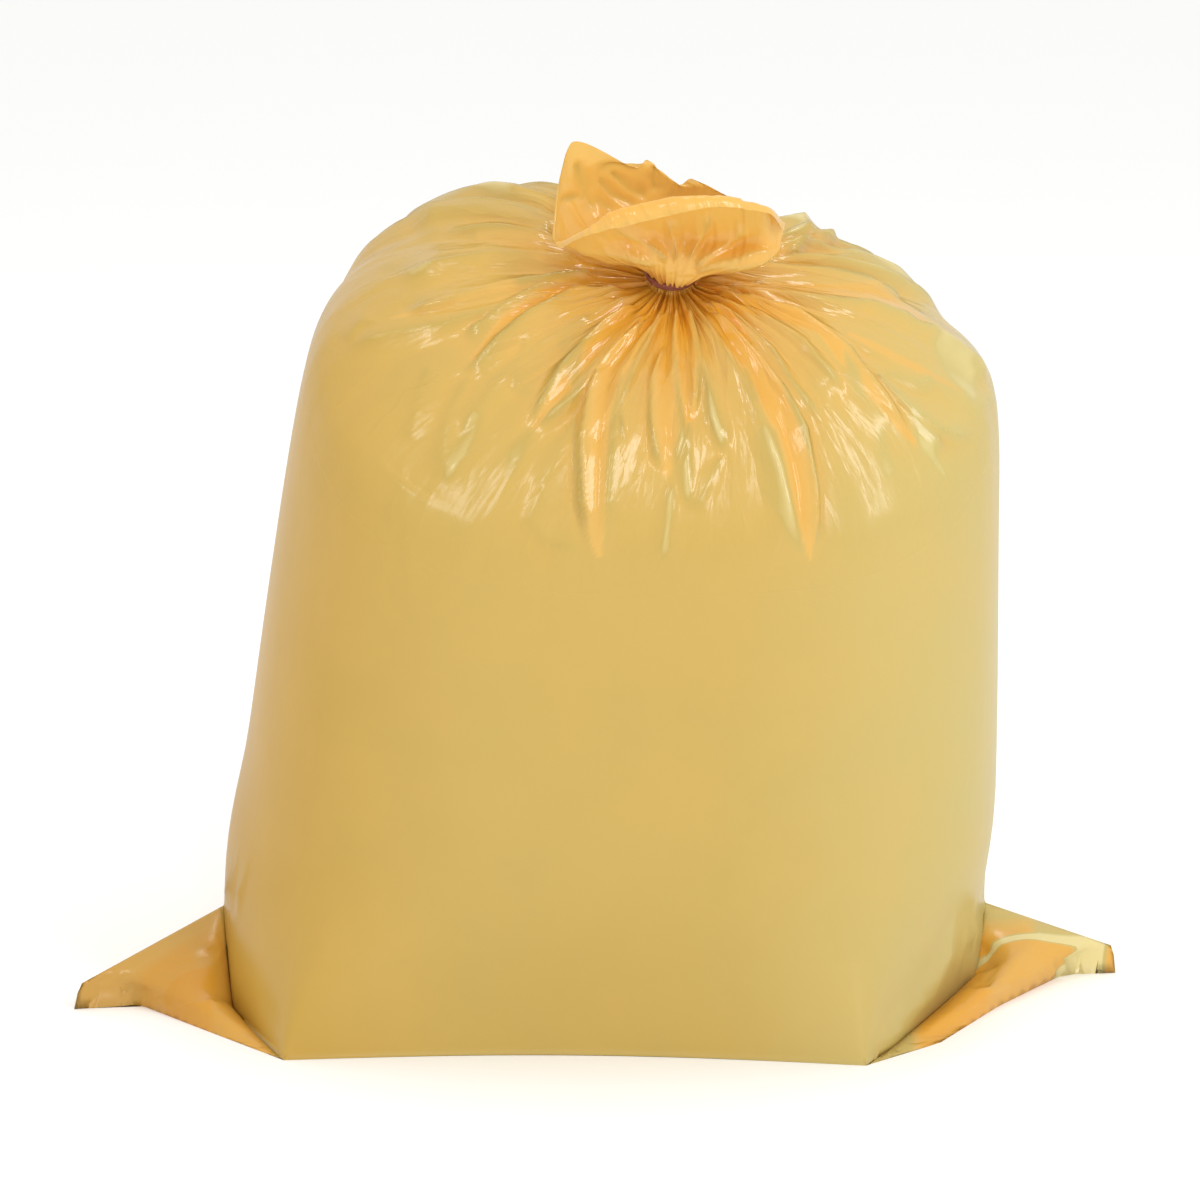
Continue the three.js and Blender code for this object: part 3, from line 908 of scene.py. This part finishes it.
def layersOf(points, leafLayersAndHighlights):
    # most at the neck, in valleys, in the ears and the topknot, and less where highlights are painted
    rows, columns = points.shape[:2]
    wide = np.stack([blurred(points[..., i], 14) for i in range(3)], -1)
    hollow = np.einsum("ijk,ijk->ij", wide - points, normalsOf(wide)) / layering["valley"]
    far = np.linalg.norm(points - neck["place"], axis=-1)
    value = np.zeros((rows, columns))
    for name in ("neck", "shoulder"):
        much, away, sharp = layering[name]
        value += much * np.exp(-((far / away) ** sharp))
    end, over = layering["valleyReach"]
    value += np.clip(hollow, -0.2, 0.3) * smooth((end - far) / over)
    r = np.arange(rows)[:, None]
    ear = np.where(points[..., 0] < 0, *layering["ears"])
    value = np.where(r < film["footRows"] - 2, ear, value)
    knotStart = firstKnotRow()
    t = np.clip((r - knotStart) / film["knotRows"], 0, 1)
    start, less = layering["knot"]
    value = np.where(r >= knotStart, start - less * t + np.clip(hollow, -0.2, 0.2), value)
    return np.clip(value + layering["single"] + leafLayersAndHighlights * layering["leafAndHighlight"], 0, 1)


# How strongly the film is crinkled, as a share of the most.
crinkling = {
    "ears": 0.35,
    "knot": 0.6,
    "shoulder": 0.25,
    "neckReach": 150,  # mm
}


def crinkledPart(points):
    # over the top, and most round the neck
    r = np.arange(points.shape[0])[:, None]
    far = np.linalg.norm(points - neck["place"], axis=-1)
    near = np.exp(-((far / crinkling["neckReach"]) ** 2))
    over = smooth((r - firstTopRow() + 6) / 24) * mix(crinkling["shoulder"], 1, near)
    over = np.where(r >= firstKnotRow(), crinkling["knot"], over)
    return np.where(r < film["footRows"], crinkling["ears"], over)


def inEar(points):
    # 1 on the foot and its ears
    r = np.arange(points.shape[0])[:, None]
    return (r < film["footRows"]) * np.ones(points.shape[1])


def filmPlace(points):
    # where each point lies on the flat tube: round it, on a circle of its girth, and up it
    rise = np.linalg.norm(np.diff(points, axis=0), axis=-1).mean(1)
    up = np.concatenate([[0], np.cumsum(rise)]) / 1000
    turn = 2 * math.pi * np.arange(points.shape[1]) / points.shape[1]
    hoop = np.linalg.norm(np.roll(points, -1, 1) - points, axis=-1).sum(1) / 1000
    # the topknot stands open, with no folds along it
    girth = np.where(np.arange(len(points)) < firstKnotRow(), 2 * film["flatWidth"], hoop)
    radius = girth[:, None] / (2 * math.pi)
    place = np.zeros(points.shape)
    place[..., 0] = radius * np.cos(turn)
    place[..., 1] = radius * np.sin(turn)
    place[..., 2] = up[:, None]
    return place


# The band: a thin elastic wound round the neck.
band = {
    "strand": 2.3,  # thickness of the elastic, mm
    "turns": 2.4,
    "height": 3.4,  # from the first turn to the last
    "coreRadius": 16.2,
    "spread": 0.5,  # how much wider the last turn is
    "slack": 0.35,  # how far the turns stray from a true ring
    "strayLength": 0.012,
    "steps": 220,
    "sides": 10,
    "seed": 3,
    "rubber": "#7d3a28",
    "worn": "#a4604c",
}


def vulcanisedRubber():
    # elastic band: dull red-brown, a little paler in patches, with a soft waxy shine
    material = bpy.data.materials.new("vulcanised_rubber")
    material.use_nodes = True
    tree = material.node_tree
    tree.nodes.clear()
    node = partial(addNode, tree)
    place = node("ShaderNodeTexCoord").outputs["Object"]
    patches = node("ShaderNodeTexNoise", {"Vector": place, "Scale": 1 / 0.004, "Detail": 3.0})
    tint = node("ShaderNodeValToRGB", {"Fac": patches.outputs["Fac"]})
    ramp(tint, [(0.35, linear(band["rubber"])), (0.75, linear(band["worn"]))])
    grain = node("ShaderNodeTexNoise", {"Vector": place, "Scale": 1 / 0.0006, "Detail": 2.0})
    bump = node("ShaderNodeBump", {"Height": grain.outputs["Fac"], "Strength": 0.5, "Distance": 0.0001})
    skin = node("ShaderNodeBsdfPrincipled", {"Base Color": tint.outputs["Color"], "Roughness": 0.38,
                                             "IOR": 1.52, "Normal": bump.outputs[0]})
    node("ShaderNodeOutputMaterial", {"Surface": skin.outputs[0]})
    return material


def bandTree(material):
    # a spiral round the neck, thickened to a round strand and leant with the neck
    tree = bpy.data.node_groups.new("wound_band", "GeometryNodeTree")
    inputs = {}
    for name in ("Strand", "Turns", "Height", "Start Radius", "End Radius", "Slack", "Stray Length",
                 "Lean"):
        inputs[name] = tree.interface.new_socket(name=name, in_out="INPUT",
                                                 socket_type="NodeSocketFloat").identifier
    for name in ("Steps", "Sides", "Seed"):
        inputs[name] = tree.interface.new_socket(name=name, in_out="INPUT",
                                                 socket_type="NodeSocketInt").identifier
    inputs["Place"] = tree.interface.new_socket(name="Place", in_out="INPUT",
                                                socket_type="NodeSocketVector").identifier
    tree.interface.new_socket(name="Geometry", in_out="OUTPUT", socket_type="NodeSocketGeometry")
    node = partial(addNode, tree)
    given = node("NodeGroupInput").outputs
    spiral = node("GeometryNodeCurveSpiral", {"Resolution": given["Steps"], "Rotations": given["Turns"],
                                              "Start Radius": given["Start Radius"],
                                              "End Radius": given["End Radius"],
                                              "Height": given["Height"]})
    perLength = node("ShaderNodeMath", {0: 1.0, 1: given["Stray Length"]}, operation="DIVIDE")
    noise = node("ShaderNodeTexNoise", {"W": given["Seed"], "Scale": perLength.outputs[0],
                                        "Detail": 1.0}, noise_dimensions="4D")
    centred = node("ShaderNodeVectorMath", {0: noise.outputs["Color"], 1: (0.5, 0.5, 0.5)},
                   operation="SUBTRACT")
    stray = node("ShaderNodeVectorMath", {0: centred.outputs[0], "Scale": given["Slack"]},
                 operation="SCALE")
    strayed = node("GeometryNodeSetPosition", {"Geometry": spiral.outputs[0], "Offset": stray.outputs[0]})
    half = node("ShaderNodeMath", {0: given["Strand"], 1: 0.5}, operation="MULTIPLY")
    profile = node("GeometryNodeCurvePrimitiveCircle", {"Resolution": given["Sides"],
                                                        "Radius": half.outputs[0]})
    strand = node("GeometryNodeCurveToMesh", {"Curve": strayed.outputs[0],
                                              "Profile Curve": profile.outputs[0], "Fill Caps": True})
    middle = node("ShaderNodeMath", {0: given["Height"], 1: -0.5}, operation="MULTIPLY")
    down = node("ShaderNodeCombineXYZ", {"Z": middle.outputs[0]})
    centredStrand = node("GeometryNodeTransform", {"Geometry": strand.outputs[0],
                                                   "Translation": down.outputs[0]})
    lean = node("ShaderNodeCombineXYZ", {"X": given["Lean"]})
    leant = node("GeometryNodeTransform", {"Geometry": centredStrand.outputs[0],
                                           "Rotation": lean.outputs[0], "Translation": given["Place"]})
    smoothed = node("GeometryNodeSetShadeSmooth", {"Geometry": leant.outputs[0]})
    real = node("GeometryNodeRealizeInstances", {"Geometry": smoothed.outputs[0]})
    dressed = node("GeometryNodeSetMaterial", {"Geometry": real.outputs[0], "Material": material})
    node("NodeGroupOutput", {"Geometry": dressed.outputs[0]})
    return tree, inputs


def makeBand():
    material = vulcanisedRubber()
    tree, inputs = bandTree(material)
    start = bpy.data.objects.new("band_start", bpy.data.meshes.new("band_start"))
    bpy.context.collection.objects.link(start)
    winding = start.modifiers.new("winding", "NODES")
    winding.node_group = tree
    sizes = {
        "Strand": band["strand"] / 1000, "Turns": band["turns"], "Height": band["height"] / 1000,
        "Start Radius": band["coreRadius"] / 1000, "End Radius": (band["coreRadius"] + band["spread"]) / 1000,
        "Slack": band["slack"] / 1000, "Stray Length": band["strayLength"],
        "Lean": math.radians(neck["lean"]), "Place": tuple(neck["place"] / 1000),
        "Steps": band["steps"], "Sides": band["sides"], "Seed": band["seed"],
    }
    for name, value in sizes.items():
        winding[inputs[name]] = value
    evaluated = start.evaluated_get(bpy.context.evaluated_depsgraph_get())
    mesh = bpy.data.meshes.new_from_object(evaluated)
    mesh.name = "wound_band"
    start.modifiers.remove(winding)
    bpy.data.objects.remove(start)
    if not mesh.materials:
        mesh.materials.append(material)
    piece = bpy.data.objects.new("wound_band", mesh)
    bpy.context.collection.objects.link(piece)
    return piece


makeCamera()
points = baseShape()
report(f"base {points.shape}")
points, leafLayersAndHighlights = creaseFilm(points)
filmPiece = makeFilm(points, {"layers": layersOf(points, leafLayersAndHighlights), "crinkled": crinkledPart(points),
                              "filmPlace": filmPlace(points), "inEar": inEar(points)})
report("film made")
filmPiece.data.materials.append(blownPolyethylene())
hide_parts("bag")
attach(filmPiece, "root")
bandPiece = makeBand()
report(f"band wound, {len(bandPiece.data.polygons)} faces")
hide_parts("neck_band")
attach(bandPiece, "root")


studio = {
    "floorSize": 40.0,
    "floor": "#fafaf8",
    "sky": "#ffffff",
    "skyStrength": 1.0,
    # place, width, height, watts
    "lights": [((2.0, -2.2, 2.2), 0.55, 1.8, 30.0), ((-1.6, -2.0, 2.4), 0.16, 1.0, 9.0),
               ((0.3, 0.5, 3.0), 0.25, 1.2, 10.0), ((0.5, -3.0, 2.6), 0.2, 1.0, 8.0)],
}


def makeStudio():
    half = studio["floorSize"] / 2
    floorMesh = bpy.data.meshes.new("floor")
    floorMesh.from_pydata([(-half, -half, 0), (half, -half, 0), (half, half, 0), (-half, half, 0)], [],
                          [(0, 1, 2, 3)])
    floor = bpy.data.objects.new("floor", floorMesh)
    bpy.context.collection.objects.link(floor)
    paint = bpy.data.materials.new("matt_floor_paint")
    paint.use_nodes = True
    skin = paint.node_tree.nodes["Principled BSDF"]
    skin.inputs["Base Color"].default_value = linear(studio["floor"])
    skin.inputs["Roughness"].default_value = 0.9
    skin.inputs["Specular IOR Level"].default_value = 0.2
    floorMesh.materials.append(paint)
    for place, width, height, energy in studio["lights"]:
        light = bpy.data.lights.new("softbox", "AREA")
        light.shape = "RECTANGLE"
        light.size = width
        light.size_y = height
        light.energy = energy
        lamp = bpy.data.objects.new("softbox", light)
        bpy.context.collection.objects.link(lamp)
        lamp.location = place
        lamp.rotation_euler = (Vector((0, 0, 0.3)) - Vector(place)).to_track_quat("-Z", "Y").to_euler()
    world = bpy.data.worlds.new("studio")
    bpy.context.scene.world = world
    world.use_nodes = True
    sky = world.node_tree.nodes["Background"]
    sky.inputs["Color"].default_value = linear(studio["sky"])
    sky.inputs["Strength"].default_value = studio["skyStrength"]
    bpy.context.scene.view_settings.view_transform = "Standard"


makeStudio()
report("studio")
